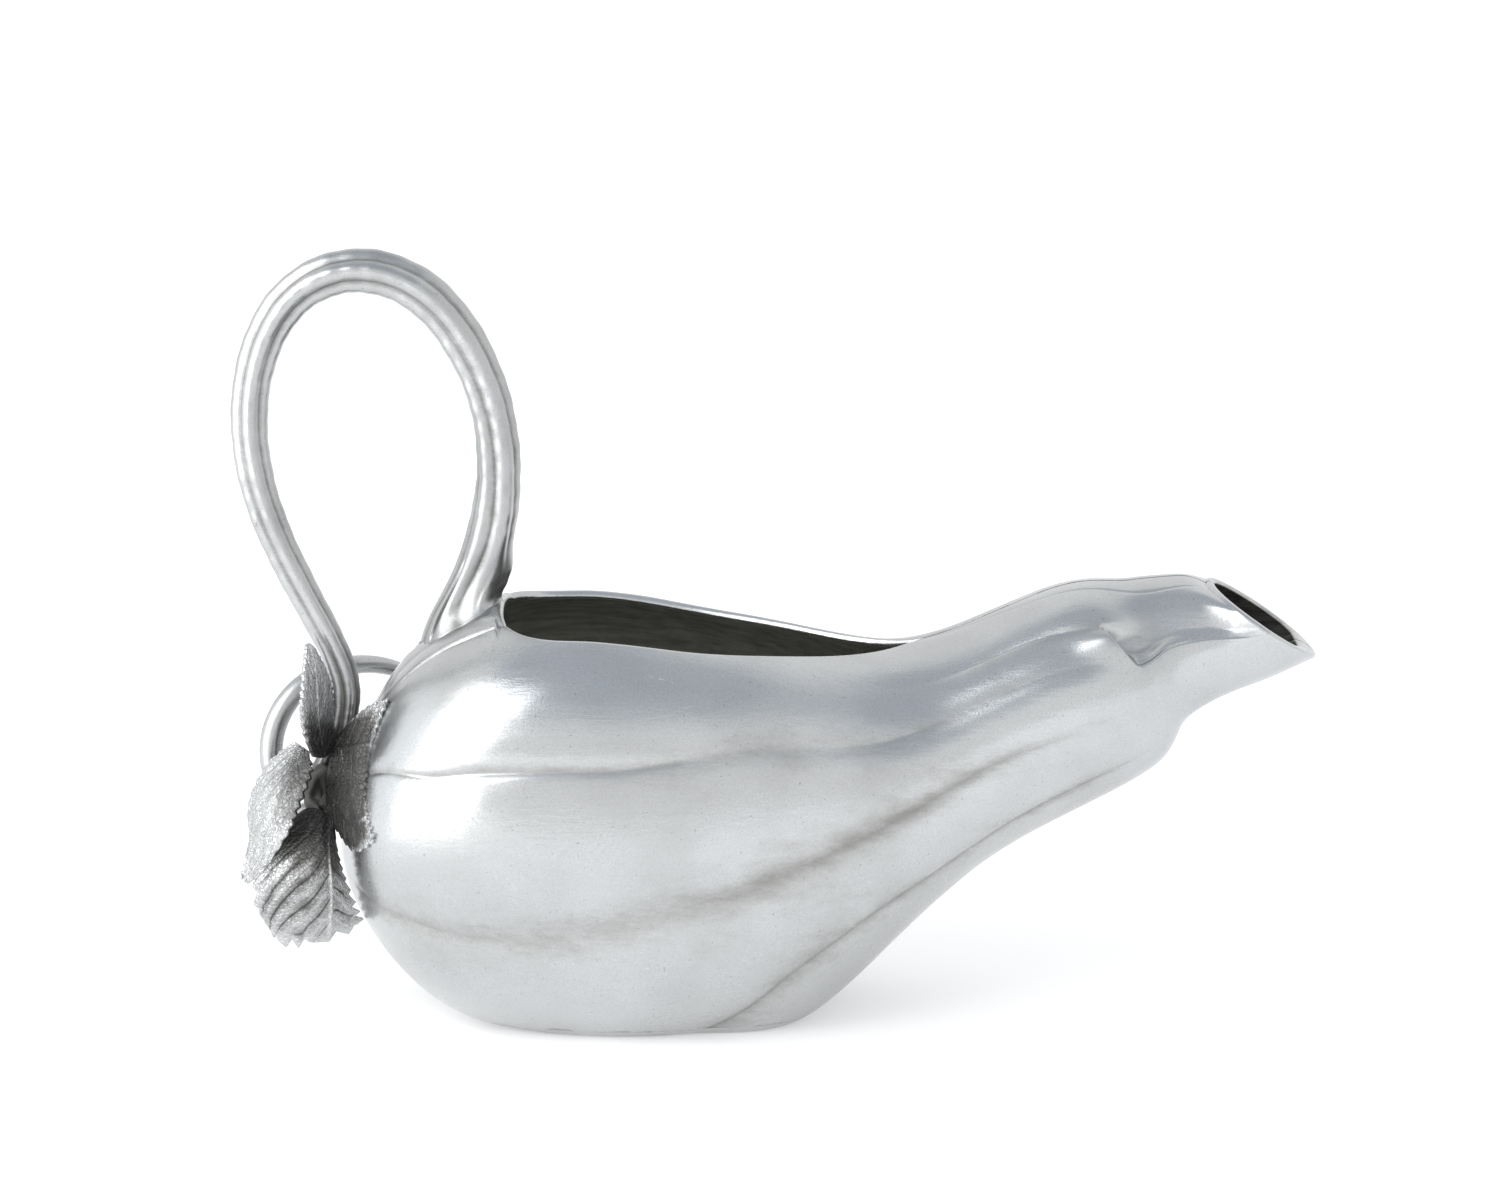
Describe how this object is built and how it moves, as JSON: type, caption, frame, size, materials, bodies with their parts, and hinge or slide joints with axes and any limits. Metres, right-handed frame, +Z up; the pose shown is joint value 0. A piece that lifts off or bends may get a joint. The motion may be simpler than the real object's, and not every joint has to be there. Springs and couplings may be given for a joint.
{
  "type": "sauce boat",
  "caption": "Gourd-shaped pewter sauce boat: hollow ribbed body with an open back and pouring neck, vine loop handle, leaves and a curled tendril.",
  "frame": {"origin": "on the flat underside of the foot, under the belly, in the body's plane of symmetry", "axes": "+X from the leafy stalk end towards the pouring spout, +Z up, +Y to the left of someone who looks along +X"},
  "size_m": [0.2413, 0.089, 0.1717],
  "materials": {
    "polished_pewter": "satin-polished pewter, greyer in the grooves, dark and unpolished inside",
    "stem_pewter": "ribbed cast pewter, bright on the ribs and dark in the flutes",
    "leaf_pewter": "cast pewter with veins, darkened in the veins and bright on the edges",
    "solder": "dressed solder, slightly duller than the pewter"
  },
  "bodies": {
    "root": {"body_half_right": "polished_pewter", "body_half_left": "polished_pewter", "foot_plate": "polished_pewter", "seam_solder_rear": "solder", "seam_solder_neck": "solder", "seam_solder_belly": "solder", "handle_vine": "stem_pewter", "handle_root_solder": "solder", "tendril": "stem_pewter", "leaf_knot": "solder", "leaf_upright": "leaf_pewter", "leaf_outer": "leaf_pewter", "leaf_side": "leaf_pewter", "leaf_lower": "leaf_pewter"}
  },
  "joints": []
}
